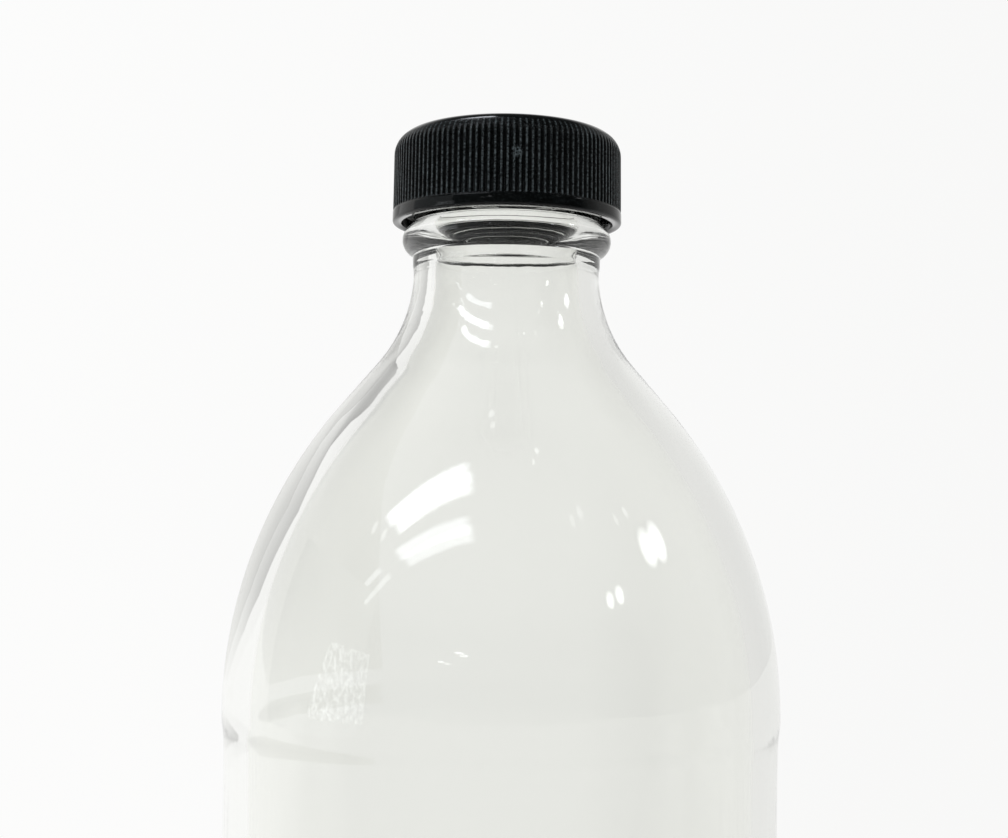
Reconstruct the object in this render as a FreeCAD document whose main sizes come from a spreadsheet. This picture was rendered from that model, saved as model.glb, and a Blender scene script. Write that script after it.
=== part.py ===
"""Clear glass bottle with a ribbed screw cap.

Frame: millimetres, +Z up.  The axis of the bottle is the Z axis, and the origin is
the middle of the ring it stands on.  Both pieces are turned about that axis.
"""
import FreeCAD, Part
import math
import os
import Sketcher

# alias, value, meaning: lengths in millimetres, the slope in degrees
SIZES = (
    ("bottle_height", 198.4, "foot to sealing lip"),
    ("body_radius", 36.6, "widest: foot band and start of the shoulder"),
    ("heel_radius", 5.5, "round from the foot to the side"),
    ("stand_width", 2.4, "width of the flat ring it stands on"),
    ("push_up", 3.0, "rise of the hollow under the base"),
    ("base_thickness", 5.0, "glass at the middle of the base"),
    ("inner_heel", 7.0, "round inside, from base to side"),
    ("foot_band", 15.0, "foot to the lower edge of the label panel"),
    ("panel_recess", 0.45, "how far the label panel lies below body_radius"),
    ("panel_edge", 1.4, "height of the sloped edges of the label panel"),
    ("wall", 3.6, "glass in foot band and shoulder"),
    ("shoulder_slope", 40.3, "steepest angle of the shoulder from upright"),
    ("cone_length", 7.4, "straight run between the shoulder's two arcs"),
    ("neck_sweep", 19.6, "hollow arc from shoulder to neck, outside"),
    ("inner_sweep", 22.0, "hollow arc from shoulder to bore, inside"),
    ("finish_radius", 12.6, "neck ring and finish, without the thread"),
    ("finish_height", 10.76, "sealing lip to the top of the carrying bead"),
    ("finish_wall", 3.0, "glass between finish and bore"),
    ("lip_round", 0.9, "outer round of the sealing lip"),
    ("mouth_round", 0.5, "inner round of the sealing lip"),
    ("bead_proud", 1.45, "how far the bead stands out of the finish"),
    ("bead_half", 2.12, "half the height of the bead"),
    ("neck_ring", 1.95, "foot of the bead to the waist of the neck"),
    ("waist_depth", 0.15, "how far the waist lies below the finish"),
    ("step_height", 0.4, "height of the parting step above the waist"),
    ("thread_room", 1.67, "gap from finish to skirt, where the threads run"),
    ("skirt_wall", 1.15, "thickness of the skirt of the cap"),
    ("cap_top", 1.6, "thickness of the top of the cap"),
    ("cap_gap", 0.1, "rim of the cap to the top of the bead"),
    ("cap_round", 3.1, "round of the top edge of the cap"),
    ("cap_draft", 0.12, "how much narrower the ribs are at their top"),
    ("rim_round", 0.36, "round of the lower edge of the cap"),
    ("band_height", 1.6, "smooth band under the ribs"),
    ("rib_count", 120, "ribs round the cap"),
    ("rib_depth", 0.43, "depth of the grooves between ribs"),
    ("groove_width", 0.5, "width of a groove at the mouth"),
)

# vertices of a sketch line or arc, as Sketcher numbers them
START = 1
END = 2
CENTRE = 3
# the horizontal and vertical axes of a sketch, as Sketcher numbers them
LEVEL_AXIS = -1
TURN_AXIS = -2
# a groove's cutter reaches this far out of the cap, to cut its face cleanly
CUTTER_REACH = 0.4


def make_sheet(doc):
    """Put the driving sizes in a spreadsheet, one row and one alias each."""
    sheet = doc.addObject("Spreadsheet::Sheet", "sizes")
    for row, (alias, value, meaning) in enumerate(SIZES, start=1):
        sheet.set("A%d" % row, alias)
        sheet.set("B%d" % row, str(value))
        sheet.set("C%d" % row, meaning)
        sheet.setAlias("B%d" % row, alias)
    doc.recompute()
    return sheet


def read_sizes(sheet):
    """Read the sizes back, for the first draft of each sketch."""
    return {alias: float(sheet.get(alias)) for alias, value, meaning in SIZES}


def origin_part(body, role):
    """Find one of the body's own origin planes or axes by its role."""
    for feature in body.Origin.OriginFeatures:
        if feature.Role == role:
            return feature
    raise RuntimeError("the body has no " + role)


def make_sketch(body, name, role):
    """Start a sketch on an origin plane of its own body."""
    sketch = body.newObject("Sketcher::SketchObject", name)
    sketch.AttachmentSupport = [(origin_part(body, role), "")]
    sketch.MapMode = "FlatFace"
    return sketch


def add_line(sketch, start, end):
    """Add a line between two points and return its index."""
    edge = Part.LineSegment(FreeCAD.Vector(*start, 0), FreeCAD.Vector(*end, 0))
    return sketch.addGeometry(edge, False)


def add_arc(sketch, centre, radius, first, last):
    """Add an arc that runs anticlockwise from first to last, in degrees."""
    circle = Part.Circle(FreeCAD.Vector(*centre, 0), FreeCAD.Vector(0, 0, 1), radius)
    arc = Part.ArcOfCircle(circle, math.radians(first), math.radians(last))
    return sketch.addGeometry(arc, False)


def relate(sketch, kind, *geometry):
    """Add a constraint that has no size, such as Coincident or Tangent."""
    sketch.addConstraint(Sketcher.Constraint(kind, *geometry))


def measure(sketch, kind, *geometry_value_rule):
    """Add a dimension: its geometry, its value now and the rule that drives it."""
    *geometry, value, rule = geometry_value_rule
    index = sketch.addConstraint(Sketcher.Constraint(kind, *geometry, value))
    sketch.setExpression("Constraints[%d]" % index, rule)


def set_radius_out(sketch, edge, vertex, value, rule):
    """Fix how far a vertex lies from the axis."""
    measure(sketch, "DistanceX", -1, 1, edge, vertex, value, rule)


def set_height(sketch, edge, vertex, value, rule):
    """Fix how high a vertex lies."""
    measure(sketch, "DistanceY", -1, 1, edge, vertex, value, rule)


def draft_shoulder(size, waist, waist_height):
    """Work out where the shoulder's arcs and cones meet, outside and inside.

    Outside, a convex arc, a cone and a hollow arc run on into each other down from
    the waist of the neck, and the convex arc is as large as the body's width asks.
    The inside shares the convex arc's centre.
    """
    slope = math.radians(size["shoulder_slope"])
    sine = math.sin(slope)
    cosine = math.cos(slope)
    sweep = size["neck_sweep"]
    cone = size["cone_length"]
    across = size["body_radius"] - waist - cone * sine - sweep * (1 - cosine)
    convex = across / (1 - cosine)
    start = waist_height - (convex + sweep) * sine - cone * cosine
    centre = (size["body_radius"] - convex, start)
    low = (centre[0] + convex * cosine, start + convex * sine)
    high = (low[0] - cone * sine, low[1] + cone * cosine)
    inner = convex - size["wall"]
    inner_low = (centre[0] + inner * cosine, start + inner * sine)
    inner_sweep = size["inner_sweep"]
    bore = size["finish_radius"] - size["finish_wall"]
    inner_cone = (inner_low[0] - bore - inner_sweep * (1 - cosine)) / sine
    inner_high = (inner_low[0] - inner_cone * sine, inner_low[1] + inner_cone * cosine)
    inner_end = inner_high[1] + inner_sweep * sine
    return convex, start, centre, low, high, inner_low, inner_high, inner_end


def draw_wall(body, size):
    """Draw the section through the glass wall, as one closed and fixed outline."""
    sketch = make_sketch(body, "wall_section", "XZ_Plane")
    top = size["bottle_height"]
    wide = size["body_radius"]
    panel = wide - size["panel_recess"]
    heel = size["heel_radius"]
    stand = wide - heel - size["stand_width"]
    push_up = size["push_up"]
    dome = (stand ** 2 + push_up ** 2) / (2 * push_up)
    finish = size["finish_radius"]
    bore_at = finish - size["finish_wall"]
    proud = size["bead_proud"]
    bead_half = size["bead_half"]
    bead_round = (bead_half ** 2 + proud ** 2) / (2 * proud)
    bead_angle = math.degrees(math.asin(bead_half / bead_round))
    bead_high = top - size["finish_height"]
    bead_low = bead_high - 2 * bead_half
    waist = (finish - size["waist_depth"], bead_low - size["neck_ring"])
    step_end = (finish, waist[1] + size["step_height"])
    lip = size["lip_round"]
    mouth_round = size["mouth_round"]
    slope = size["shoulder_slope"]
    panel_low = size["foot_band"] + size["panel_edge"]
    convex, start, centre, low, high, inner_low, inner_high, inner_end = draft_shoulder(
        size, *waist)
    panel_high = start - size["panel_edge"]

    # the outside, from the hollow under the base up to the lip
    hollow = add_arc(sketch, (0, push_up - dome), dome,
                     math.degrees(math.acos(stand / dome)), 90)
    ring = add_line(sketch, (stand, 0), (wide - heel, 0))
    corner = add_arc(sketch, (wide - heel, heel), heel, -90, 0)
    foot = add_line(sketch, (wide, heel), (wide, size["foot_band"]))
    panel_in = add_line(sketch, (wide, size["foot_band"]), (panel, panel_low))
    label = add_line(sketch, (panel, panel_low), (panel, panel_high))
    panel_out = add_line(sketch, (panel, panel_high), (wide, start))
    shoulder = add_arc(sketch, centre, convex, 0, slope)
    cone = add_line(sketch, low, high)
    sweep = add_arc(sketch, (waist[0] + size["neck_sweep"], waist[1]),
                    size["neck_sweep"], 180, 180 + slope)
    step = add_line(sketch, waist, step_end)
    neck_ring = add_line(sketch, step_end, (finish, bead_low))
    bead = add_arc(sketch, (finish + proud - bead_round, bead_low + bead_half),
                   bead_round, -bead_angle, bead_angle)
    collar = add_line(sketch, (finish, bead_high), (finish, top - lip))
    lip_arc = add_arc(sketch, (finish - lip, top - lip), lip, 0, 90)
    seal = add_line(sketch, (finish - lip, top), (bore_at + mouth_round, top))

    # the inside, from the mouth down to the floor, and the axis
    mouth = add_arc(sketch, (bore_at + mouth_round, top - mouth_round), mouth_round,
                    90, 180)
    bore = add_line(sketch, (bore_at, top - mouth_round), (bore_at, inner_end))
    inner_arc = add_arc(sketch, (bore_at + size["inner_sweep"], inner_end),
                        size["inner_sweep"], 180, 180 + slope)
    inner_cone = add_line(sketch, inner_high, inner_low)
    inner_shoulder = add_arc(sketch, centre, convex - size["wall"], 0, slope)
    inside = wide - size["wall"]
    inner_heel = size["inner_heel"]
    floor_round = dome + size["base_thickness"]
    turn = math.acos((inside - inner_heel) / (floor_round + inner_heel))
    heel_height = push_up - dome + (floor_round + inner_heel) * math.sin(turn)
    side = add_line(sketch, (inside, start), (inside, heel_height))
    inner_corner = add_arc(sketch, (inside - inner_heel, heel_height), inner_heel,
                           180 + math.degrees(turn), 360)
    floor = add_arc(sketch, (0, push_up - dome), floor_round, math.degrees(turn), 90)
    axis = add_line(sketch, (0, push_up + size["base_thickness"]), (0, push_up))

    for one, one_end, other, other_end in (
            (hollow, START, ring, START), (foot, END, panel_in, START),
            (panel_in, END, label, START), (label, END, panel_out, START),
            (panel_out, END, shoulder, START), (sweep, START, step, START),
            (step, END, neck_ring, START), (neck_ring, END, bead, START),
            (bead, END, collar, START), (floor, END, axis, START),
            (axis, END, hollow, END), (inner_shoulder, CENTRE, shoulder, CENTRE),
            (floor, CENTRE, hollow, CENTRE)):
        relate(sketch, "Coincident", one, one_end, other, other_end)
    for one, one_end, other, other_end in (
            (ring, END, corner, START), (corner, END, foot, START),
            (shoulder, END, cone, START), (cone, END, sweep, END),
            (collar, END, lip_arc, START), (lip_arc, END, seal, START),
            (seal, END, mouth, START), (mouth, END, bore, START),
            (bore, END, inner_arc, START), (inner_arc, END, inner_cone, START),
            (inner_cone, END, inner_shoulder, END), (inner_shoulder, START, side, START),
            (side, END, inner_corner, END), (inner_corner, START, floor, START)):
        relate(sketch, "Tangent", one, one_end, other, other_end)
    for edge in (foot, label, neck_ring, collar, bore, side):
        relate(sketch, "Vertical", edge)
    for edge in (ring, seal):
        relate(sketch, "Horizontal", edge)
    relate(sketch, "Parallel", cone, inner_cone)
    relate(sketch, "Horizontal", shoulder, CENTRE, shoulder, START)
    relate(sketch, "Horizontal", sweep, CENTRE, sweep, START)
    relate(sketch, "Vertical", bead, START, bead, END)
    relate(sketch, "PointOnObject", ring, START, LEVEL_AXIS)
    relate(sketch, "PointOnObject", hollow, CENTRE, TURN_AXIS)
    relate(sketch, "PointOnObject", axis, START, TURN_AXIS)
    relate(sketch, "PointOnObject", axis, END, TURN_AXIS)

    for edge, vertex, value, rule in (
            (ring, START, stand, "sizes.body_radius - sizes.heel_radius - sizes.stand_width"),
            (foot, END, wide, "sizes.body_radius"),
            (label, START, panel, "sizes.body_radius - sizes.panel_recess"),
            (shoulder, START, wide, "sizes.body_radius"),
            (inner_shoulder, START, inside, "sizes.body_radius - sizes.wall"),
            (sweep, START, waist[0], "sizes.finish_radius - sizes.waist_depth"),
            (step, END, finish, "sizes.finish_radius"),
            (bore, START, bore_at, "sizes.finish_radius - sizes.finish_wall")):
        set_radius_out(sketch, edge, vertex, value, rule)
    for edge, vertex, value, rule in (
            (axis, END, push_up, "sizes.push_up"),
            (axis, START, push_up + size["base_thickness"],
             "sizes.push_up + sizes.base_thickness"),
            (foot, END, size["foot_band"], "sizes.foot_band"),
            (panel_in, END, panel_low, "sizes.foot_band + sizes.panel_edge"),
            (bead, END, bead_high, "sizes.bottle_height - sizes.finish_height"),
            (seal, START, top, "sizes.bottle_height")):
        set_height(sketch, edge, vertex, value, rule)
    for low_edge, low_end, high_edge, high_end, value, rule in (
            (panel_out, START, panel_out, END, size["panel_edge"], "sizes.panel_edge"),
            (bead, START, bead, END, 2 * bead_half, "2 * sizes.bead_half"),
            (step, START, neck_ring, END, size["neck_ring"], "sizes.neck_ring"),
            (step, START, step, END, size["step_height"], "sizes.step_height")):
        measure(sketch, "DistanceY", low_edge, low_end, high_edge, high_end, value, rule)
    measure(sketch, "Angle", cone, math.radians(90 + slope), "90 + sizes.shoulder_slope")
    measure(sketch, "Distance", cone, size["cone_length"], "sizes.cone_length")
    for edge, value, rule in (
            (corner, heel, "sizes.heel_radius"),
            (sweep, size["neck_sweep"], "sizes.neck_sweep"),
            (bead, bead_round,
             "(sizes.bead_half ^ 2 + sizes.bead_proud ^ 2) / (2 * sizes.bead_proud)"),
            (lip_arc, lip, "sizes.lip_round"),
            (mouth, mouth_round, "sizes.mouth_round"),
            (inner_arc, size["inner_sweep"], "sizes.inner_sweep"),
            (inner_corner, inner_heel, "sizes.inner_heel")):
        measure(sketch, "Radius", edge, value, rule)
    return sketch


def make_bottle(doc, size):
    """Turn the wall section about the axis: the whole bottle is one piece of glass."""
    body = doc.addObject("PartDesign::Body", "bottle")
    body.Label = "glass_bottle"
    section = draw_wall(body, size)
    turned = body.newObject("PartDesign::Revolution", "turned_wall")
    turned.Profile = section
    turned.ReferenceAxis = (section, ["V_Axis"])
    turned.Angle = 360
    body.Tip = turned
    return body


def draw_cap(body, size):
    """Draw the section through the cap, from its rim at height 0 up to its top."""
    sketch = make_sketch(body, "cap_section", "XZ_Plane")
    inside = size["finish_radius"] + size["thread_room"]
    outside = inside + size["skirt_wall"]
    narrow = outside - size["cap_draft"]
    ceiling = size["finish_height"] - size["cap_gap"]
    top = ceiling + size["cap_top"]
    edge_round = size["cap_round"]
    rim = size["rim_round"]
    band = size["band_height"]

    crown = add_line(sketch, (0, top), (narrow - edge_round, top))
    crown_arc = add_arc(sketch, (narrow - edge_round, top - edge_round), edge_round, 0, 90)
    grip = add_line(sketch, (narrow, top - edge_round), (outside, band))
    smooth = add_line(sketch, (outside, band), (outside, rim))
    rim_arc = add_arc(sketch, (outside - rim, rim), rim, -90, 0)
    rim_flat = add_line(sketch, (outside - rim, 0), (inside, 0))
    skirt = add_line(sketch, (inside, 0), (inside, ceiling))
    under = add_line(sketch, (inside, ceiling), (0, ceiling))
    axis = add_line(sketch, (0, ceiling), (0, top))

    for one, one_end, other, other_end in (
            (grip, END, smooth, START), (rim_flat, END, skirt, START),
            (skirt, END, under, START), (under, END, axis, START),
            (axis, END, crown, START)):
        relate(sketch, "Coincident", one, one_end, other, other_end)
    for one, one_end, other, other_end in (
            (crown, END, crown_arc, END), (crown_arc, START, grip, START),
            (smooth, END, rim_arc, END), (rim_arc, START, rim_flat, START)):
        relate(sketch, "Tangent", one, one_end, other, other_end)
    for edge in (smooth, skirt):
        relate(sketch, "Vertical", edge)
    for edge in (crown, rim_flat, under):
        relate(sketch, "Horizontal", edge)
    relate(sketch, "PointOnObject", rim_flat, END, LEVEL_AXIS)
    relate(sketch, "PointOnObject", axis, START, TURN_AXIS)
    relate(sketch, "PointOnObject", axis, END, TURN_AXIS)

    set_radius_out(sketch, skirt, START, inside, "sizes.finish_radius + sizes.thread_room")
    set_radius_out(sketch, smooth, START, outside,
                   "sizes.finish_radius + sizes.thread_room + sizes.skirt_wall")
    set_height(sketch, smooth, START, band, "sizes.band_height")
    set_height(sketch, axis, START, ceiling, "sizes.finish_height - sizes.cap_gap")
    measure(sketch, "DistanceY", axis, START, axis, END, size["cap_top"], "sizes.cap_top")
    measure(sketch, "DistanceX", grip, START, grip, END, size["cap_draft"],
            "sizes.cap_draft")
    measure(sketch, "Radius", crown_arc, edge_round, "sizes.cap_round")
    measure(sketch, "Radius", rim_arc, rim, "sizes.rim_round")
    return sketch


def draw_groove(body, size):
    """Draw the V between two ribs, on a level plane at the top of the smooth band."""
    sketch = make_sketch(body, "groove_section", "XY_Plane")
    sketch.setExpression("AttachmentOffset.Base.z", "sizes.band_height")
    outside = size["finish_radius"] + size["thread_room"] + size["skirt_wall"]
    root = outside - size["rib_depth"]
    mouth = outside + CUTTER_REACH
    half = size["groove_width"] / 2 * (mouth - root) / size["rib_depth"]

    lower = add_line(sketch, (root, 0), (mouth, -half))
    back = add_line(sketch, (mouth, -half), (mouth, half))
    upper = add_line(sketch, (mouth, half), (root, 0))
    relate(sketch, "Coincident", lower, END, back, START)
    relate(sketch, "Coincident", back, END, upper, START)
    relate(sketch, "Coincident", upper, END, lower, START)
    relate(sketch, "PointOnObject", lower, START, LEVEL_AXIS)
    relate(sketch, "Symmetric", back, START, back, END, LEVEL_AXIS)
    skirt = "sizes.finish_radius + sizes.thread_room + sizes.skirt_wall"
    set_radius_out(sketch, lower, START, root, skirt + " - sizes.rib_depth")
    set_radius_out(sketch, back, START, mouth, skirt + " + %s" % CUTTER_REACH)
    measure(sketch, "DistanceY", back, START, back, END, 2 * half,
            "sizes.groove_width * (sizes.rib_depth + %s) / sizes.rib_depth" % CUTTER_REACH)
    return sketch


def make_cap(doc, size):
    """Turn the cap, cut one groove in its skirt and repeat it round the axis.

    The grooves run straight up, so they die out where the round top edge falls
    behind their roots and leave the top of the cap smooth.
    """
    body = doc.addObject("PartDesign::Body", "cap")
    body.Label = "screw_cap"
    section = draw_cap(body, size)
    shell = body.newObject("PartDesign::Revolution", "shell")
    shell.Profile = section
    shell.ReferenceAxis = (section, ["V_Axis"])
    shell.Angle = 360
    doc.recompute()
    plain_volume = shell.Shape.Volume

    groove = body.newObject("PartDesign::Pocket", "groove")
    groove.Profile = draw_groove(body, size)
    groove.Type = "Length"
    groove.Reversed = True
    groove.setExpression("Length", "sizes.finish_height + sizes.cap_top")
    doc.recompute()
    one_groove = plain_volume - groove.Shape.Volume

    ribs = body.newObject("PartDesign::PolarPattern", "ribs")
    ribs.Originals = [groove]
    ribs.Axis = (origin_part(body, "Z_Axis"), [""])
    ribs.Angle = 360
    ribs.setExpression("Occurrences", "sizes.rib_count")
    body.Tip = ribs
    body.setExpression("Placement.Base.z",
                       "sizes.bottle_height - sizes.finish_height + sizes.cap_gap")
    doc.recompute()
    all_grooves = plain_volume - ribs.Shape.Volume
    expected = one_groove * size["rib_count"]
    if one_groove <= 0 or abs(all_grooves - expected) > 0.02 * expected:
        raise RuntimeError("the grooves round the cap were not all cut")
    return body


def check(doc, bodies):
    """Stop if anything failed to build, or if the two pieces run into each other."""
    for thing in doc.Objects:
        if "Invalid" in thing.State or "Error" in thing.State:
            raise RuntimeError("%s failed: %s" % (thing.Name, thing.State))
        if thing.TypeId == "Sketcher::SketchObject" and not thing.FullyConstrained:
            raise RuntimeError("%s is not fully fixed" % thing.Name)
    for body in bodies:
        if body.Shape.isNull() or not body.Shape.isValid() or len(body.Shape.Solids) != 1:
            raise RuntimeError("%s is not one sound solid" % body.Label)
    bottle, cap = bodies
    overlap = bottle.Shape.common(cap.Shape).Volume
    if overlap > 0.01:
        raise RuntimeError("the cap runs %.3f mm3 into the glass" % overlap)


def main():
    doc = FreeCAD.newDocument("bottle_with_cap")
    sheet = make_sheet(doc)
    size = read_sizes(sheet)
    bodies = (make_bottle(doc, size), make_cap(doc, size))
    doc.recompute()
    check(doc, bodies)
    os.makedirs("parts", exist_ok=True)
    for body in bodies:
        body.Shape.exportStep("parts/%s.step" % body.Label)
        box = body.Shape.optimalBoundingBox(False)
        print("%s: %.1f cm3, radius %.2f mm, from %.2f to %.2f mm high"
              % (body.Label, body.Shape.Volume / 1000, box.XMax, box.ZMin, box.ZMax))


main()
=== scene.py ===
import math

import bpy
import numpy as np
from mathutils import Matrix, Vector


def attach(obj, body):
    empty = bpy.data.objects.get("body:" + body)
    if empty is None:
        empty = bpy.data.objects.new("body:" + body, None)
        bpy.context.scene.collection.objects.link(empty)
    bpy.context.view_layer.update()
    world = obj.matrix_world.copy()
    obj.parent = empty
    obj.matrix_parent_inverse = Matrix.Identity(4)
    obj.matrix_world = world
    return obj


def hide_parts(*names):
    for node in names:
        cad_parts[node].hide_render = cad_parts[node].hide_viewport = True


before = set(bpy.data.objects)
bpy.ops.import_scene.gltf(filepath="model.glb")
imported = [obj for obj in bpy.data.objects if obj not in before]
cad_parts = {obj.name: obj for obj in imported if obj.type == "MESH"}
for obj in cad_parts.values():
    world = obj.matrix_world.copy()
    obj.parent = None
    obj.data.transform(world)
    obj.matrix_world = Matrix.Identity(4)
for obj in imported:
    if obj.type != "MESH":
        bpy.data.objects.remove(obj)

# Looks of the clear glass bottle and its ribbed screw cap, in metres, +Z up.
MM = 0.001
scene = bpy.context.scene
scene.view_settings.view_transform = "Standard"
# light that bounces inside a glass wall many times still finds its way out
scene.cycles.max_bounces = 24
scene.cycles.glossy_bounces = 16
scene.cycles.transmission_bounces = 24
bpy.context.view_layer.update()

# the glass, in millimetres, as in the solid
BOTTLE_HEIGHT = 198.4
BODY_RADIUS = 36.6
HEEL_RADIUS = 5.5
STAND_WIDTH = 2.4
PUSH_UP = 3.0
BASE_THICKNESS = 5.0
INNER_HEEL = 7.0
FOOT_BAND = 15.0
PANEL_RECESS = 0.45
PANEL_EDGE = 1.4
WALL = 3.6
SLOPE = math.radians(40.3)
CONE_LENGTH = 7.4
NECK_SWEEP = 19.6
INNER_SWEEP = 22.0
FINISH_RADIUS = 12.6
FINISH_HEIGHT = 10.76
FINISH_WALL = 3.0
LIP_ROUND = 0.9
MOUTH_ROUND = 0.5
BEAD_PROUD = 1.45
BEAD_HALF = 2.12
NECK_RING = 1.95
WAIST_DEPTH = 0.15
STEP_HEIGHT = 0.4
# the cap, in millimetres, as in the solid
THREAD_ROOM = 1.67
SKIRT_WALL = 1.15
CAP_TOP = 1.6
CAP_GAP = 0.1
CAP_ROUND = 3.1
CAP_DRAFT = 0.12
RIM_ROUND = 0.36
BAND_HEIGHT = 1.6
RIB_COUNT = 120
RIB_DEPTH = 0.43

# what only the visual model has, in millimetres
PANEL_SLOPE = 3.4          # height of the sloping ledge over the panel
PANEL_DROP = 0.7           # how far that ledge's top lies below the shoulder
BAND_EDGE = 0.2            # rounded ledge over the cap's smooth band
CEILING_CORNER = 0.5       # rounded corner inside the cap
RIB_FADE = 0.32            # height over which the grooves start above the band
RIB_SHARPNESS = 1.2
MIDDLE_HOLE = 0.4          # radius of the discs that close the cap's middle
AXIS_TURN = 0.03           # radians left open at the axis, which one point closes
EASE_REACH = 0.9           # how far a point moves toward its neighbours' middle
THREAD_PITCH = 3.18
THREAD_END = 0.06          # share of a turn over which a thread tapers off
GLASS_THREAD_START = 3.0   # above the bead
GLASS_THREAD_TURNS = 1.4
GLASS_THREAD_PROUD = 1.05
GLASS_THREAD_HALF = 1.0
GLASS_THREAD_END = 0.5     # below the lip
CAP_THREAD_START = 0.9     # above the rim
CAP_THREAD_TURNS = 2.2
CAP_THREAD_PROUD = 0.95
CAP_THREAD_HALF = 0.7
CAP_THREAD_END = 2.0       # below the finish's height
# unevenness of the inner wall: depth, waves round the bottle, height per radian, phase
WAVES = ((0.10, 1, 47.0, 0.4), (0.08, 2, 31.0, 2.1), (0.05, 3, 22.0, 4.0),
         (0.035, 5, 17.0, 1.3), (0.02, 7, 60.0, 5.2), (0.012, 11, 26.0, 3.1))
WAVES_END = 20.0           # no waves in this much of the bottle's top
WAVES_RISE = 30.0          # height over which they grow to their full depth
WAVES_CALM = 20.0          # radius within which they die out toward the axis
GLASS_AROUND = 288
POINTS_PER_RIB = 8

# the glass's look, in metres and linear colours; noise scales are per metre
GLASS_TINT = (0.965, 0.970, 0.948, 1)
GLASS_IOR = 1.52
RELIEF_SCALE = 70
RELIEF_STRENGTH = 0.02
RELIEF_DEPTH = 0.001
NECK_HEIGHTS = (0.166, 0.174)    # over these the neck's own unevenness comes in
NECK_SCALE = 260
NECK_SHARE = 2.2
PANEL_HEIGHTS = (0.126, 0.112)   # over these the panel's streaks come in
STREAK_SCALE = 190
STREAK_SHARE = 3.0
STREAK_STRETCH = (1, 1, 0.06)
SEAM_TURN = math.radians(6)
SEAM_WIDTH = 0.0004
SEAM_STRENGTH = 0.5
SEAM_DEPTH = 0.00004
# the cap's look: the first of two values is for its smooth parts, the second for its ribs
GROOVE_BLACK = (0.0008, 0.0011, 0.0011, 1)
# the crests' grey is partly dust and partly a painted highlight along each rib crest
CREST_SHEEN_AND_DUST = (0.070, 0.086, 0.092, 1)
CREST_EDGE = (0.10, 0.20)        # where a crest ends, in shares of a rib from its middle
DUST_SCALE = 3200
CLOUD_SCALE = 160
SPECULAR = (0.3, 0.15)
BUMP_STRENGTH = (0.03, 0.25)
BUMP_DEPTH = 0.0001
SMOOTH_ROUGHNESS = 0.06
RIB_ROUGHNESS = (0.18, 0.34)     # added to the smooth one, least and most
RIBS_OVER_BAND = 0.15 * MM
RIBS_UNDER_TOP = 1.15 * MM
SCUFF_PLACE = (0.0012, -0.0153, 0.1946)
SCUFF_REACH = 0.0009

# the studio, in metres and linear colours
LENS = 55.54
CAMERA_PLACE = (-0.00007, -0.2085, 0.15076)
CAMERA_PITCH = math.radians(90 + 2.98)
CAMERA_ROLL = math.radians(0.7)
CEILING = 1.2
SHOULDER_HEIGHT = 0.15
BACKDROP_LEFT = (0.972, 0.972, 0.968, 1)
BACKDROP_RIGHT = (0.94, 0.94, 0.935, 1)
BACKDROP_FAR_RIGHT = (0.82, 0.82, 0.81, 1)
ROOM_LEFT = (0.10, 0.105, 0.11, 1)
ROOM_RIGHT = (0.03, 0.03, 0.03, 1)
# directions between which the studio changes, each from -1 to 1 along its axis
BACKDROP_ACROSS = (-0.3, 0.3)
FAR_RIGHT_ACROSS = (0.08, 0.45)
ROOM_ACROSS = (-0.9, 0.5)
ROOM_ENDS = (-0.25, 0.25)
DARK_ABOVE = (0.45, 0.75)
DIM_RIGHT = (0.30, 0.75)
DIM_RIGHT_SHARE = 0.6
FLOOR_REACH = 3.0
FLOOR_DROP = 0.0002
FLOOR_PAINT = (0.88, 0.88, 0.87, 1)
FLOOR_SHADOW = (0.10, 0.40)      # distance over which its glow grows to full
FLOOR_GLOW_NEAR = 0.4
FLOOR_FRONT = (0.1, -0.1)
FLOOR_IN_GLOSS = (0.28, 0.28, 0.28, 1)
STRIP_LIGHT = (0.90, 0.93, 1.0, 1)
LAMP_LIGHT = (0.95, 0.97, 1.0, 1)
WINDOW_LIGHT = (0.93, 0.97, 1.0, 1)
CARD_LIGHT = (1, 1, 0.985, 1)
# strips: name, left, right, near, far in ceiling heights, strength, shift of the right end
STRIPS = (("strip_near", -1.15, -0.24, -0.64, -0.46, 9.0, 0.0),
          ("strip_far", -1.25, -0.28, -1.06, -0.85, 5.0, 0.0),
          ("streak", -2.50, -1.50, -1.12, -1.00, 3.0, 0.1))
STRIP_OVER_CAP = ("strip_over_cap", -0.37, -0.075, 0.19, 0.39, 9.0, 0.0)
# oval lamps: across, near, length and width in ceiling heights, and strength
LAMPS = ((1.71, -0.26, 0.66, 0.30, 9.0), (1.76, -1.34, 0.50, 0.18, 9.0),
         (-1.29, -0.48, 0.20, 0.07, 2.5), (0.69, -0.70, 0.16, 0.07, 1.6),
         (1.12, -0.39, 0.16, 0.06, 2.0), (-0.09, -0.21, 0.06, 0.05, 2.5),
         (0.24, -0.41, 0.05, 0.04, 3.5), (-2.0, -4.5, 0.26, 0.30, 6.0),
         (-1.2, -3.9, 0.26, 0.36, 6.0))
# windows: name, azimuth, elevation, width, height, distance, strength, broken into patches
WINDOWS = (("window_left", -80, 8, 0.9, 0.6, 1.0, 0.5, False),
           ("window_small", -69, 2, 0.56, 0.28, 1.0, 3.4, True))
# the dark card: elevation, inner and outer azimuth in degrees, tone at its outer edge
CARD_DISTANCE = 1.0
CARD_PALE = 0.93
CARD_BEND = 0.8
CARD_ROWS = ((-7, 8, 24, 0.90), (-1, 9, 36.5, 0.68), (4, 10, 42, 0.53), (11, 10, 44, 0.52),
             (16, 10, 45, 0.50), (18.5, 10, 40, 0.45), (20, 10, 34.5, 0.33),
             (23.5, 9, 33.6, 0.34), (26, 9, 35.2, 0.36), (32, 8, 37, 0.60))
SQUARE = ((0, 0), (0, 1), (1, 1), (1, 0))


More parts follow.
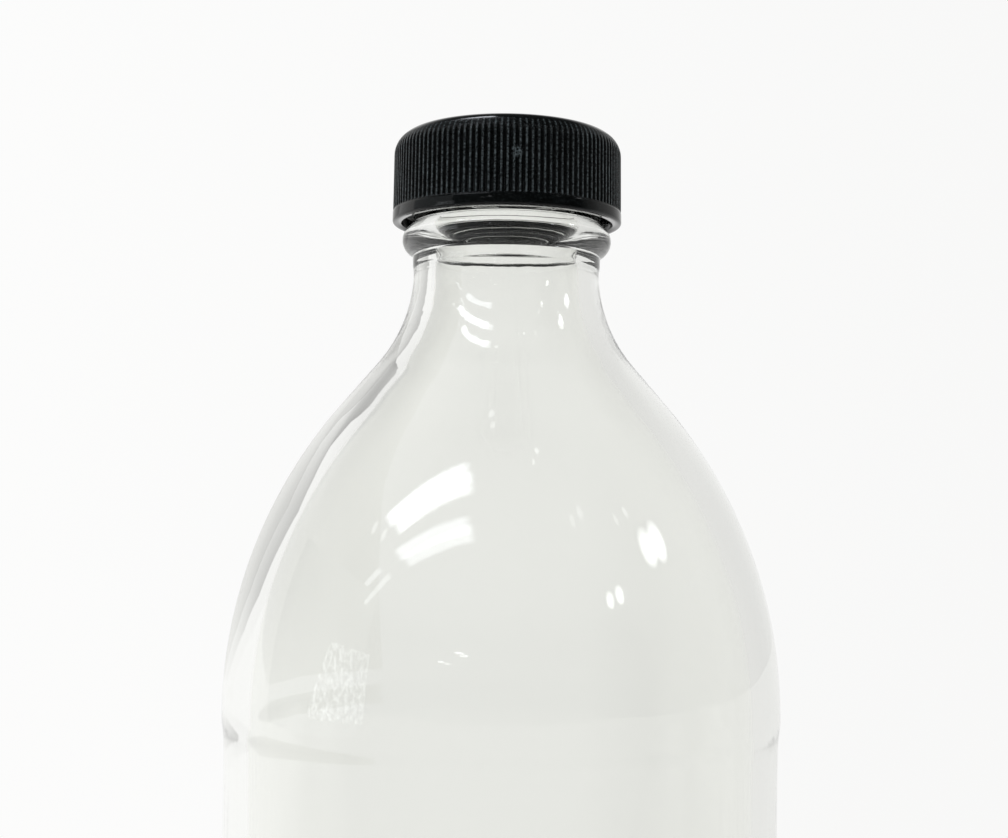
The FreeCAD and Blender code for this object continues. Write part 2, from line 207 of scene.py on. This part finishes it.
def arc(centre, radius, first, last, step):
    """Points of an arc from first to last, in radians, about one step apart."""
    count = max(2, int(abs(last - first) * radius / step) + 1)
    turns = np.linspace(first, last, count)
    return [(centre[0] + radius * math.cos(t), centre[1] + radius * math.sin(t)) for t in turns]


def run(start, end, step):
    """Points of a straight run, about one step apart."""
    count = max(2, int(math.dist(start, end) / step) + 1)
    return [tuple(p) for p in np.linspace(start, end, count)]


def joined(*parts):
    """Join runs and arcs into one outline, leaving out doubled points."""
    points = [parts[0][0]]
    for part in parts:
        for point in part:
            if math.dist(point, points[-1]) > 1e-4:
                points.append(point)
    return points


def soft(points, reach, rounds):
    """Ease the corners of an outline by averaging neighbours, its ends kept."""
    line = np.array(points)
    for _ in range(rounds):
        line[1:-1] += reach * (0.5 * (line[:-2] + line[2:]) - line[1:-1])
    return line


def smooth_bump(x):
    """1 at x = 0, falling smoothly to 0 at x = 1 and beyond, both ways."""
    x = np.clip(np.abs(x), 0, 1)
    return (1 - x * x) ** 2


def fill(mesh, vertices, faces):
    """Give a mesh its vertices and smooth faces."""
    mesh.from_pydata(vertices, [], faces)
    mesh.validate()
    mesh.update()
    mesh.polygons.foreach_set("use_smooth", [True] * len(mesh.polygons))


def place_in_scene(name, data):
    """Make an object of some data and link it to the scene."""
    made = bpy.data.objects.new(name, data)
    scene.collection.objects.link(made)
    return made


def grid(outline, around):
    """The angle, radius and height of each point of an outline turned round the axis."""
    rows = len(outline)
    angles = np.linspace(0, 2 * math.pi, around, endpoint=False)
    return (np.tile(angles, (rows, 1)), np.tile(outline[:, :1], (1, around)),
            np.tile(outline[:, 1:], (1, around)))


def turned(name, angle, radii, heights, ends_on_axis):
    """Skin a grid of points, one row per point of the outline, round the axis."""
    rows, around = radii.shape
    points = np.stack([radii * np.cos(angle), radii * np.sin(angle), heights], axis=-1)
    vertices = list(points.reshape(-1, 3))
    faces = []
    for row in range(rows - 1):
        a = row * around
        b = a + around
        for i in range(around):
            j = (i + 1) % around
            faces.append((a + i, a + j, b + j, b + i))
    if ends_on_axis:
        for row, flip in ((0, False), (rows - 1, True)):
            pole = len(vertices)
            vertices.append((0, 0, float(heights[row].mean())))
            for i in range(around):
                a = row * around + i
                b = row * around + (i + 1) % around
                faces.append((pole, a, b) if flip else (pole, b, a))
    mesh = bpy.data.meshes.new(name)
    fill(mesh, [tuple(v) for v in np.asarray(vertices) * MM], faces)
    return place_in_scene(name, mesh)


# ---------------------------------------------------------------- the glass

def glass_outline():
    """The outside from the base's middle to the lip, the inside back down, and heights."""
    top = BOTTLE_HEIGHT
    wide = BODY_RADIUS
    panel = wide - PANEL_RECESS
    stand = wide - HEEL_RADIUS - STAND_WIDTH
    dome = (stand ** 2 + PUSH_UP ** 2) / (2 * PUSH_UP)
    nearly_up = math.pi / 2 - AXIS_TURN
    bore = FINISH_RADIUS - FINISH_WALL
    bead_high = top - FINISH_HEIGHT
    bead_low = bead_high - 2 * BEAD_HALF
    waist = (FINISH_RADIUS - WAIST_DEPTH, bead_low - NECK_RING)
    sine, cosine = math.sin(SLOPE), math.cos(SLOPE)
    across = wide - waist[0] - CONE_LENGTH * sine - NECK_SWEEP * (1 - cosine)
    convex = across / (1 - cosine)
    start = waist[1] - (convex + NECK_SWEEP) * sine - CONE_LENGTH * cosine
    centre = (wide - convex, start)
    sweep = (waist[0] + NECK_SWEEP, waist[1])
    bead_round = (BEAD_HALF ** 2 + BEAD_PROUD ** 2) / (2 * BEAD_PROUD)
    bead_turn = math.asin(BEAD_HALF / bead_round)
    ledge_high = start - PANEL_DROP
    ledge_low = ledge_high - PANEL_SLOPE
    outside = joined(
        arc((0, PUSH_UP - dome), dome, nearly_up, math.acos(stand / dome), 3.0),
        run((stand, 0), (wide - HEEL_RADIUS, 0), 0.6),
        arc((wide - HEEL_RADIUS, HEEL_RADIUS), HEEL_RADIUS, -math.pi / 2, 0, 0.7),
        run((wide, HEEL_RADIUS), (wide, FOOT_BAND), 1.9),
        run((wide, FOOT_BAND), (panel, FOOT_BAND + PANEL_EDGE), 0.35),
        run((panel, FOOT_BAND + PANEL_EDGE), (panel, ledge_low), 7.0),
        run((panel, ledge_low), (wide, ledge_high), 0.35),
        run((wide, ledge_high), (wide, start), 0.35),
        arc(centre, convex, 0, SLOPE, 1.2),
        run((centre[0] + convex * cosine, start + convex * sine),
            (sweep[0] - NECK_SWEEP * cosine, sweep[1] - NECK_SWEEP * sine), 0.9),
        arc(sweep, NECK_SWEEP, math.pi + SLOPE, math.pi, 0.6),
        run(waist, (FINISH_RADIUS, waist[1] + STEP_HEIGHT), 0.1),
        run((FINISH_RADIUS, waist[1] + STEP_HEIGHT), (FINISH_RADIUS, bead_low), 0.25),
        arc((FINISH_RADIUS + BEAD_PROUD - bead_round, bead_low + BEAD_HALF), bead_round,
            -bead_turn, bead_turn, 0.16),
        run((FINISH_RADIUS, bead_high), (FINISH_RADIUS, top - LIP_ROUND), 0.2),
        arc((FINISH_RADIUS - LIP_ROUND, top - LIP_ROUND), LIP_ROUND, 0, math.pi / 2, 0.2))
    inside_wide = wide - WALL
    inner = convex - WALL
    floor = dome + BASE_THICKNESS
    turn = math.acos((inside_wide - INNER_HEEL) / (floor + INNER_HEEL))
    heel_height = PUSH_UP - dome + (floor + INNER_HEEL) * math.sin(turn)
    inner_low = (centre[0] + inner * cosine, start + inner * sine)
    inner_cone = (inner_low[0] - bore - INNER_SWEEP * (1 - cosine)) / sine
    inner_high = (inner_low[0] - inner_cone * sine, inner_low[1] + inner_cone * cosine)
    inner_end = inner_high[1] + INNER_SWEEP * sine
    inside = joined(
        arc((bore + MOUTH_ROUND, top - MOUTH_ROUND), MOUTH_ROUND, math.pi / 2, math.pi, 0.15),
        run((bore, top - MOUTH_ROUND), (bore, inner_end), 1.6),
        arc((bore + INNER_SWEEP, inner_end), INNER_SWEEP, math.pi, math.pi + SLOPE, 0.9),
        run(inner_high, inner_low, 1.0),
        arc(centre, inner, SLOPE, 0, 1.1),
        run((inside_wide, start), (inside_wide, heel_height), 4.5),
        arc((inside_wide - INNER_HEEL, heel_height), INNER_HEEL, 0, turn - math.pi, 0.9),
        arc((0, PUSH_UP - dome), floor, turn, nearly_up, 3.0))
    return outside, inside, start, bead_high, waist[1]


def ease_corners(points, low, high, rounds):
    """Round off the corners of the outline between two heights."""
    line = np.array(points)
    between = (line[:, 1] > low) & (line[:, 1] < high)
    eased = soft(line, EASE_REACH, rounds)
    line[between] = eased[between]
    return line


def uneven(angle, height):
    """Waviness of moulded glass: slow waves that wander round and up the bottle."""
    # the two halves of the mould are alike, so the right side mirrors the left one
    right = np.clip(0.5 + np.cos(angle), 0, 1)
    right = right * right * (3 - 2 * right)
    total = np.zeros_like(angle)
    for depth, count, length, phase in WAVES:
        wander = height / length + phase
        total += depth * ((1 - right) * np.sin(count * (math.pi - angle) + wander)
                          + right * np.sin(count * angle + wander))
    return total


def thread_ridge(angle, height, first, turns, proud, half):
    """Height of a screw thread's ridge over a cylinder, tapered at both ends."""
    ridge = np.zeros_like(angle)
    for lap in range(-1, int(turns) + 2):
        along = (angle % (2 * math.pi)) / (2 * math.pi) + lap
        middle = first + along * THREAD_PITCH
        ends = np.clip(np.minimum(along, turns - along) / THREAD_END, 0, 1)
        across = smooth_bump((height - middle) / half)
        ridge = np.maximum(ridge, proud * across * ends)
    return ridge


def make_glass():
    """The whole bottle as one skin: outside, lip and inside."""
    outside, inside, start, bead_high, waist = glass_outline()
    # the panel's edges, the shoulder's start and the waist, each softer than in the solid
    for low, high, rounds in ((FOOT_BAND - 4, start - 2, 6), (start - 2, start + 2, 1),
                              (waist - 1, waist + 1.2, 2)):
        outside = ease_corners(outside, low, high, rounds)
    outline = np.concatenate([outside, inside[1:]])
    angle, radii, heights = grid(outline, GLASS_AROUND)
    is_inside = np.arange(len(outline))[:, None] >= len(outside)
    # the inner wall wanders, less in the neck and not at the floor's middle
    along = np.clip((BOTTLE_HEIGHT - WAVES_END - heights) / WAVES_RISE, 0, 1)
    calm = np.clip(radii / WAVES_CALM, 0, 1)
    radii = radii + np.where(is_inside, uneven(angle, heights) * along * calm, 0)
    # the screw thread on the finish
    on_finish = ~is_inside & (heights > bead_high) & (heights < BOTTLE_HEIGHT - GLASS_THREAD_END)
    ridge = thread_ridge(angle, heights, bead_high + GLASS_THREAD_START, GLASS_THREAD_TURNS,
                         GLASS_THREAD_PROUD, GLASS_THREAD_HALF)
    radii = radii + np.where(on_finish, ridge, 0)
    glass = turned("bottle_glass", angle, radii, heights, True)
    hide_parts("glass_bottle")
    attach(glass, "root")
    return glass


# ---------------------------------------------------------------- the cap

def cap_outline():
    """The outside of the cap from its rim to its middle, then the inside back."""
    inside = FINISH_RADIUS + THREAD_ROOM
    outside = inside + SKIRT_WALL
    narrow = outside - CAP_DRAFT
    ceiling = FINISH_HEIGHT - CAP_GAP
    top = ceiling + CAP_TOP
    ledge = (outside - 0.5 * BAND_EDGE, BAND_HEIGHT + 0.02)
    ribs_start = (outside - 0.3 * BAND_EDGE, BAND_HEIGHT + 0.35)
    corner = CEILING_CORNER
    outer = joined(
        run((inside, 0), (outside - RIM_ROUND, 0), 0.4),
        arc((outside - RIM_ROUND, RIM_ROUND), RIM_ROUND, -math.pi / 2, 0, 0.1),
        run((outside, RIM_ROUND), (outside, BAND_HEIGHT - BAND_EDGE), 0.6),
        arc((outside - BAND_EDGE, BAND_HEIGHT - BAND_EDGE), BAND_EDGE, 0, 1.1, 0.05),
        run(ledge, ribs_start, 0.09),
        run(ribs_start, (narrow, top - CAP_ROUND), 3.0),
        arc((narrow - CAP_ROUND, top - CAP_ROUND), CAP_ROUND, 0, math.pi / 2, 0.22),
        run((narrow - CAP_ROUND, top), (MIDDLE_HOLE, top), 4.0))
    inner = joined(
        run((MIDDLE_HOLE, ceiling), (inside - corner, ceiling), 7.0),
        arc((inside - corner, ceiling - corner), corner, math.pi / 2, 0, 0.2),
        run((inside, ceiling - corner), (inside, 0), 0.27))
    return outer, inner


def make_cap():
    """The cap with its ribs, its smooth band and the thread inside its skirt."""
    outer, inner = cap_outline()
    outline = np.array(outer + inner[:-1])
    angle, radii, heights = grid(outline, RIB_COUNT * POINTS_PER_RIB)
    is_inside = np.arange(len(outline))[:, None] >= len(outer)
    # grooves between the ribs run straight up and die out on the round top edge
    phase = (angle * RIB_COUNT / (2 * math.pi)) % 1
    groove = (0.5 - 0.5 * np.cos(2 * math.pi * phase)) ** RIB_SHARPNESS
    rise = np.clip((heights - BAND_HEIGHT) / RIB_FADE, 0, 1)
    bed = FINISH_RADIUS + THREAD_ROOM + SKIRT_WALL - RIB_DEPTH * groove * rise
    is_ribbed = ~is_inside & (heights > BAND_HEIGHT)
    radii = np.where(is_ribbed, np.minimum(radii, bed), radii)
    # the thread inside the skirt runs between the turns of the glass one
    on_skirt = is_inside & (radii > FINISH_RADIUS) & (heights < FINISH_HEIGHT - CAP_THREAD_END)
    ridge = thread_ridge(angle, heights, CAP_THREAD_START, CAP_THREAD_TURNS,
                         CAP_THREAD_PROUD, CAP_THREAD_HALF)
    radii = radii - np.where(on_skirt, ridge, 0)
    bottom = BOTTLE_HEIGHT - FINISH_HEIGHT + CAP_GAP
    cap = turned("cap_shell", angle, radii, heights + bottom, False)
    close_discs(cap.data, radii.shape, len(outer))
    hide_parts("screw_cap")
    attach(cap, "root")
    return cap


def close_discs(mesh, shape, outer_count):
    """Close the middles of the cap's top and ceiling, and join the skin at the rim."""
    rows, around = shape
    vertices = [tuple(v.co) for v in mesh.vertices]
    top_ring = range((outer_count - 1) * around, outer_count * around)
    under_ring = range(outer_count * around, (outer_count + 1) * around)
    faces = [f for f in (tuple(p.vertices) for p in mesh.polygons)
             if not (min(f) in top_ring and max(f) in under_ring)]
    faces.append(tuple(top_ring))
    faces.append(tuple(reversed(under_ring)))
    last = (rows - 1) * around
    for i in range(around):
        j = (i + 1) % around
        faces.append((last + i, last + j, j, i))
    mesh.clear_geometry()
    fill(mesh, vertices, faces)


# ---------------------------------------------------------------- materials

class Graph:
    """The nodes of one material or world, and short ways to add and join them."""

    def __init__(self, tree):
        self.nodes = tree.nodes
        self.wire = tree.links.new

    def feed(self, sockets, values):
        """Give each socket its constant, or wire another node's output to it."""
        for socket, value in zip(sockets, values):
            if isinstance(value, bpy.types.NodeSocket):
                self.wire(value, socket)
            else:
                socket.default_value = value

    def math(self, operation, *values):
        node = self.nodes.new("ShaderNodeMath")
        node.operation = operation
        self.feed(node.inputs, values)
        return node.outputs[0]

    def vector(self, operation, *values):
        node = self.nodes.new("ShaderNodeVectorMath")
        node.operation = operation
        self.feed(node.inputs, values)
        return node.outputs

    def remap(self, value, low, high, to_low, to_high):
        """Map a value's range onto another, clamped."""
        node = self.nodes.new("ShaderNodeMapRange")
        names = ("Value", "From Min", "From Max", "To Min", "To Max")
        self.feed([node.inputs[name] for name in names], (value, low, high, to_low, to_high))
        return node.outputs["Result"]

    def noise(self, place, scale, detail, rough=0.5):
        node = self.nodes.new("ShaderNodeTexNoise")
        names = ("Vector", "Scale", "Detail", "Roughness")
        self.feed([node.inputs[name] for name in names], (place, scale, detail, rough))
        return node.outputs["Fac"]

    def blend(self, kind, factor, first, second):
        """Mix two colours (RGBA) or two numbers (FLOAT) by a factor."""
        node = self.nodes.new("ShaderNodeMix")
        node.data_type = kind
        self.feed([node.inputs[name] for name in ("Factor", "A", "B")],
                  (factor, first, second))
        return node.outputs["Result"]

    def bump(self, height, strength, distance):
        node = self.nodes.new("ShaderNodeBump")
        self.feed([node.inputs[name] for name in ("Height", "Strength", "Distance")],
                  (height, strength, distance))
        return node

    def place(self, kind):
        return self.nodes.new("ShaderNodeTexCoord").outputs[kind]

    def axes(self, place):
        node = self.nodes.new("ShaderNodeSeparateXYZ")
        self.wire(place, node.inputs[0])
        return node.outputs

    def light_path(self):
        return self.nodes.new("ShaderNodeLightPath").outputs

    def emission(self, colour, strength):
        node = self.nodes.new("ShaderNodeEmission")
        self.feed((node.inputs["Color"], node.inputs["Strength"]), (colour, strength))
        return node.outputs[0]

    def background(self, colour):
        node = self.nodes.new("ShaderNodeBackground")
        self.wire(colour, node.inputs["Color"])
        return node.outputs[0]

    def mix_shaders(self, factor, first, second):
        node = self.nodes.new("ShaderNodeMixShader")
        self.feed(node.inputs, (factor, first, second))
        return node.outputs[0]

    def show(self, surface):
        """Wire a shader to the material's output."""
        self.wire(surface, self.nodes["Material Output"].inputs["Surface"])


def new_material(name):
    """A node material with its graph and its Principled shader."""
    material = bpy.data.materials.new(name)
    material.use_nodes = True
    graph = Graph(material.node_tree)
    return material, graph, graph.nodes["Principled BSDF"]


def new_glow(name):
    """A node material that has only its output yet, with its graph."""
    material, graph, shader = new_material(name)
    graph.nodes.remove(shader)
    return material, graph


def glass_material():
    """Soda-lime glass, faintly grey-green, with the slight waviness of a mould."""
    material, graph, shader = new_material("clear_glass")
    shader.inputs["Base Color"].default_value = GLASS_TINT
    shader.inputs["Transmission Weight"].default_value = 1
    shader.inputs["IOR"].default_value = GLASS_IOR
    shader.inputs["Roughness"].default_value = 0
    place = graph.place("Object")
    height = graph.axes(place)["Z"]
    # the neck is more uneven than the rest, and the panel has faint upright streaks
    relief = graph.math("MULTIPLY_ADD", graph.noise(place, NECK_SCALE, 2),
                        graph.remap(height, *NECK_HEIGHTS, 0, NECK_SHARE),
                        graph.noise(place, RELIEF_SCALE, 2))
    drawn = graph.vector("MULTIPLY", place, STREAK_STRETCH)["Vector"]
    relief = graph.math("MULTIPLY_ADD", graph.noise(drawn, STREAK_SCALE, 3),
                        graph.remap(height, *PANEL_HEIGHTS, 0, STREAK_SHARE), relief)
    wavy = graph.bump(relief, RELIEF_STRENGTH, RELIEF_DEPTH)
    # the mould's two halves leave a faint seam down the front and the back
    off_seam = graph.vector("DOT_PRODUCT", place,
                            (math.cos(SEAM_TURN), math.sin(SEAM_TURN), 0))["Value"]
    line = graph.remap(graph.math("ABSOLUTE", off_seam), 0, SEAM_WIDTH, 1, 0)
    seam = graph.bump(line, SEAM_STRENGTH, SEAM_DEPTH)
    graph.wire(wavy.outputs["Normal"], seam.inputs["Normal"])
    graph.wire(seam.outputs["Normal"], shader.inputs["Normal"])
    return material


def cap_material():
    """Black plastic: satin ribs, glossier edge and band, with fine dust and scuffs, and a
    painted highlight along the rib crests.
    """
    material, graph, shader = new_material("black_plastic")
    place = graph.place("Object")
    axes = graph.axes(place)
    dust = graph.noise(place, DUST_SCALE, 3, 0.7)
    cloud = graph.noise(place, CLOUD_SCALE, 3)
    # the ribbed part is satin, the rounded top edge and the band are glossy
    bottom = (BOTTLE_HEIGHT - FINISH_HEIGHT + CAP_GAP) * MM
    rib_low = bottom + BAND_HEIGHT * MM + RIBS_OVER_BAND
    rib_high = bottom + (FINISH_HEIGHT - CAP_GAP + CAP_TOP) * MM - RIBS_UNDER_TOP
    satin = graph.math("MULTIPLY", graph.remap(axes["Z"], rib_low - 0.0001, rib_low, 0, 1),
                       graph.remap(axes["Z"], rib_high, rib_high + 0.0003, 1, 0))
    # dust and wear lie on the crests of the ribs as a lighter grey, which is also a painted
    # highlight along each crest, and the grooves stay black
    turn = graph.math("ARCTAN2", axes["Y"], axes["X"])
    ribs = graph.math("MULTIPLY", turn, RIB_COUNT / (2 * math.pi))
    crest = graph.remap(graph.math("PINGPONG", ribs, 0.5), *CREST_EDGE, 1, 0)
    crest_sheen_and_wear = graph.math("MULTIPLY", crest, graph.remap(dust, 0.42, 0.62, 0.12, 1))
    patchy = graph.math("MULTIPLY", crest_sheen_and_wear, graph.remap(cloud, 0.3, 0.7, 0.55, 1))
    ribbed = graph.math("MULTIPLY", patchy, satin)
    # one rubbed spot on the front, and a little dust all over
    off_scuff = graph.vector("DISTANCE", place, SCUFF_PLACE)["Value"]
    rubbed = graph.math("MULTIPLY", graph.remap(off_scuff, 0, SCUFF_REACH, 1, 0),
                        graph.remap(dust, 0.47, 0.55, 0, 2.5))
    marks_and_sheen = graph.math("MAXIMUM", ribbed, rubbed)
    dust_and_sheen = graph.math("MAXIMUM", marks_and_sheen, graph.remap(dust, 0.5, 0.75, 0, 0.1))
    # the base colour: black plastic turned grey by dust, wear and the painted crest highlight
    graph.wire(graph.blend("RGBA", dust_and_sheen, GROOVE_BLACK, CREST_SHEEN_AND_DUST),
               shader.inputs["Base Color"])
    graph.wire(graph.remap(satin, 0, 1, *SPECULAR), shader.inputs["Specular IOR Level"])
    grain = graph.math("MULTIPLY_ADD", graph.remap(dust, 0.35, 0.65, *RIB_ROUGHNESS),
                       satin, SMOOTH_ROUGHNESS)
    graph.wire(grain, shader.inputs["Roughness"])
    rough = graph.bump(dust, graph.remap(satin, 0, 1, *BUMP_STRENGTH), BUMP_DEPTH)
    graph.wire(rough.outputs["Normal"], shader.inputs["Normal"])
    return material


# ---------------------------------------------------------------- the studio

def make_camera():
    """Close to the bottle, level with its shoulder, turned up a little."""
    data = bpy.data.cameras.new("camera")
    data.sensor_width = 36.0
    data.lens = LENS
    data.clip_start = 0.01
    data.clip_end = 20
    camera = place_in_scene("camera", data)
    turn = Matrix.Rotation(CAMERA_PITCH, 4, "X") @ Matrix.Rotation(CAMERA_ROLL, 4, "Z")
    camera.matrix_world = Matrix.Translation(CAMERA_PLACE) @ turn
    scene.camera = camera


def place_at(azimuth, elevation, distance):
    """A point round the shoulder: azimuth 0 is toward the camera, + to the right."""
    a = math.radians(azimuth)
    e = math.radians(elevation)
    return (distance * math.sin(a) * math.cos(e), -distance * math.cos(a) * math.cos(e),
            SHOULDER_HEIGHT + distance * math.sin(e))


def backdrop_tone(graph, across, path):
    """The backdrop's colour by how far to the right it lies; darker there in the glass."""
    tint = graph.blend("RGBA", graph.remap(across, *BACKDROP_ACROSS, 0, 1),
                       BACKDROP_LEFT, BACKDROP_RIGHT)
    far = graph.math("MULTIPLY_ADD", path["Is Camera Ray"],
                     graph.remap(across, *FAR_RIGHT_ACROSS, 0, -1),
                     graph.remap(across, *FAR_RIGHT_ACROSS, 0, 1))
    return graph.blend("RGBA", far, tint, BACKDROP_FAR_RIGHT)


def mirrored(graph, path):
    """1 for light that some surface mirrored, 0 for what is seen straight or through glass."""
    once = graph.math("MINIMUM", path["Glossy Depth"], 1.0)
    return graph.math("MULTIPLY", once, path["Is Glossy Ray"])


def make_world():
    """White backdrop all round; what gloss reflects is darker on the camera's side."""
    world = bpy.data.worlds.new("studio")
    scene.world = world
    world.use_nodes = True
    graph = Graph(world.node_tree)
    graph.nodes.clear()
    axes = graph.axes(graph.place("Generated"))
    path = graph.light_path()
    backdrop = graph.background(backdrop_tone(graph, axes["X"], path))
    room = graph.background(graph.blend("RGBA", graph.remap(axes["X"], *ROOM_ACROSS, 0, 1),
                                        ROOM_LEFT, ROOM_RIGHT))
    # what the surfaces mirror from above is as dark as the room, and what they mirror
    # from the right is dimmer, but not what the glass itself guides there
    guided = path["Is Transmission Ray"]
    behind = graph.remap(axes["Y"], *ROOM_ENDS, 0, 1)
    low_down = graph.math("MAXIMUM", graph.remap(axes["Z"], *DARK_ABOVE, 1, 0), guided)
    not_right = graph.math(
        "MAXIMUM", graph.remap(axes["X"], *DIM_RIGHT, 1, DIM_RIGHT_SHARE), guided)
    bright = graph.math("MULTIPLY", graph.math("MULTIPLY", behind, low_down), not_right)
    sides = graph.mix_shaders(bright, room, backdrop)
    out = graph.nodes.new("ShaderNodeOutputWorld")
    graph.wire(graph.mix_shaders(mirrored(graph, path), backdrop, sides),
               out.inputs["Surface"])


def flat_mesh(name, corners, faces=((0, 1, 2, 3),)):
    """A stage object of a few flat faces."""
    mesh = bpy.data.meshes.new(name)
    mesh.from_pydata([tuple(c) for c in corners], [], list(faces))
    made = place_in_scene(name, mesh)
    return made


def lay_uv(made, places):
    """Give each corner of a mesh its place in the light's own pattern."""
    uv = made.data.uv_layers.new(name="across")
    for corner, place in enumerate(places):
        uv.data[corner].uv = place


def make_ceiling_strip(name, left, right, near, far, strength, lean):
    """A glowing strip in the ceiling, soft at its edges."""
    z = SHOULDER_HEIGHT + CEILING
    corners = ((left, near), (left, far), (right, far + lean), (right, near + lean))
    strip = flat_mesh(name, [(x * CEILING, y * CEILING, z) for x, y in corners])
    lay_uv(strip, SQUARE)
    material, graph = new_glow(name)
    place = graph.place("UV")
    axes = graph.axes(place)
    fray = graph.noise(place, 26, 4, 0.7)
    sides = []
    for axis, feather in (("X", 0.10), ("Y", 0.22)):
        frayed = graph.math("MULTIPLY_ADD", fray, 1.4 * feather,
                            graph.math("PINGPONG", axes[axis], 0.5))
        sides.append(graph.remap(frayed, 0.8 * feather, 1.7 * feather, 0, 1))
    level = graph.math("MULTIPLY", *sides)
    graph.show(graph.emission(STRIP_LIGHT, graph.remap(level, 0, 1, 0, strength)))
    strip.data.materials.append(material)
    strip.visible_camera = False
    return strip


def make_lamp(name, across, near, length, width, strength):
    """A small oval lamp in the ceiling whose long side points at the bottle."""
    centre = Vector((across, near, 0)) * CEILING + Vector((0, 0, SHOULDER_HEIGHT + CEILING))
    away = Vector((across, near, 0)).normalized() * CEILING * length / 2
    side = Vector((-away.y, away.x, 0)).normalized() * CEILING * width / 2
    lamp = flat_mesh(name, [centre - away - side, centre + away - side,
                            centre + away + side, centre - away + side])
    lay_uv(lamp, ((-1, -1), (1, -1), (1, 1), (-1, 1)))
    material, graph = new_glow(name)
    off_middle = graph.vector("LENGTH", graph.place("UV"))["Value"]
    graph.show(graph.emission(LAMP_LIGHT, graph.remap(off_middle, 1.0, 0.55, 0, strength)))
    lamp.data.materials.append(material)
    lamp.visible_camera = False


def make_card(name, rows, distance):
    """A card behind the bottle, seen only through it, darkest at its outer edge."""
    points = [place_at(a - 180, e, distance) for e, inner, outer, _ in rows
              for a in (inner, outer)]
    quads = [(2 * i, 2 * i + 1, 2 * i + 3, 2 * i + 2) for i in range(len(rows) - 1)]
    card = flat_mesh(name, points, quads)
    lay_uv(card, [(c.vertex_index % 2, rows[c.vertex_index // 2][3])
                  for c in card.data.loops])
    material, graph = new_glow(name)
    axes = graph.axes(graph.place("UV"))
    tone = graph.blend("FLOAT", graph.math("POWER", axes["X"], CARD_BEND),
                       CARD_PALE, axes["Y"])
    graph.show(graph.emission(CARD_LIGHT, tone))
    card.data.materials.append(material)
    for sight in ("visible_camera", "visible_diffuse", "visible_shadow"):
        setattr(card, sight, False)


def make_window(name, azimuth, elevation, width, height, distance, strength, broken):
    """A window pane that faces the shoulder, whole or broken into patches."""
    centre = Vector(place_at(azimuth, elevation, distance))
    back = (centre - Vector((0, 0, SHOULDER_HEIGHT))).normalized()
    side = Vector((0, 0, 1)).cross(back).normalized()
    up = back.cross(side)
    pane = flat_mesh(name, [centre + side * (sx * width / 2) + up * (sz * height / 2)
                            for sx, sz in ((-1, -1), (1, -1), (1, 1), (-1, 1))])
    material, graph = new_glow(name)
    level = strength
    if broken:
        patches = graph.noise(graph.place("Object"), 34, 5, 0.7)
        level = graph.remap(patches, 0.44, 0.64, 0.08 * strength, strength)
    graph.show(graph.emission(WINDOW_LIGHT, level))
    pane.data.materials.append(material)
    pane.visible_camera = False
    pane.visible_transmission = False


def make_floor():
    """A plain pale floor that keeps the bottle's shadow and fades into the backdrop."""
    reach = FLOOR_REACH
    floor = flat_mesh("floor", [(x * reach, y * reach, -FLOOR_DROP)
                                for x, y in ((-1, -1), (1, -1), (1, 1), (-1, 1))])
    material, graph, shader = new_material("floor")
    shader.inputs["Base Color"].default_value = FLOOR_PAINT
    shader.inputs["Roughness"].default_value = 0.9
    shader.inputs["Specular IOR Level"].default_value = 0.1
    place = graph.place("Object")
    path = graph.light_path()
    # its glow matches the backdrop's, and what gloss mirrors of it in front is darker
    across = graph.axes(graph.vector("NORMALIZE", place)["Vector"])["X"]
    dark = graph.math("MULTIPLY", mirrored(graph, path),
                      graph.remap(graph.axes(place)["Y"], *FLOOR_FRONT, 0, 1))
    tone = graph.blend("RGBA", dark, backdrop_tone(graph, across, path), FLOOR_IN_GLOSS)
    # it glows less near the bottle, where the shadow is, and lights no dull surface
    away = graph.remap(graph.vector("LENGTH", place)["Value"], *FLOOR_SHADOW,
                       FLOOR_GLOW_NEAR, 1)
    glows = graph.math("MULTIPLY", away,
                       graph.math("SUBTRACT", 1.0, path["Is Diffuse Ray"]))
    graph.show(graph.mix_shaders(glows, shader.outputs["BSDF"], graph.emission(tone, 1.0)))
    floor.data.materials.append(material)


make_camera()
make_world()
make_floor()
glass = make_glass()
glass.data.materials.append(glass_material())
cap = make_cap()
cap.data.materials.append(cap_material())
for strip in STRIPS:
    make_ceiling_strip(*strip)
make_card("card_left", CARD_ROWS, CARD_DISTANCE)
strip_over_cap = make_ceiling_strip(*STRIP_OVER_CAP)
strip_over_cap.visible_transmission = False
for number, lamp in enumerate(LAMPS):
    make_lamp(f"lamp_{number}", *lamp)
for window in WINDOWS:
    make_window(*window)
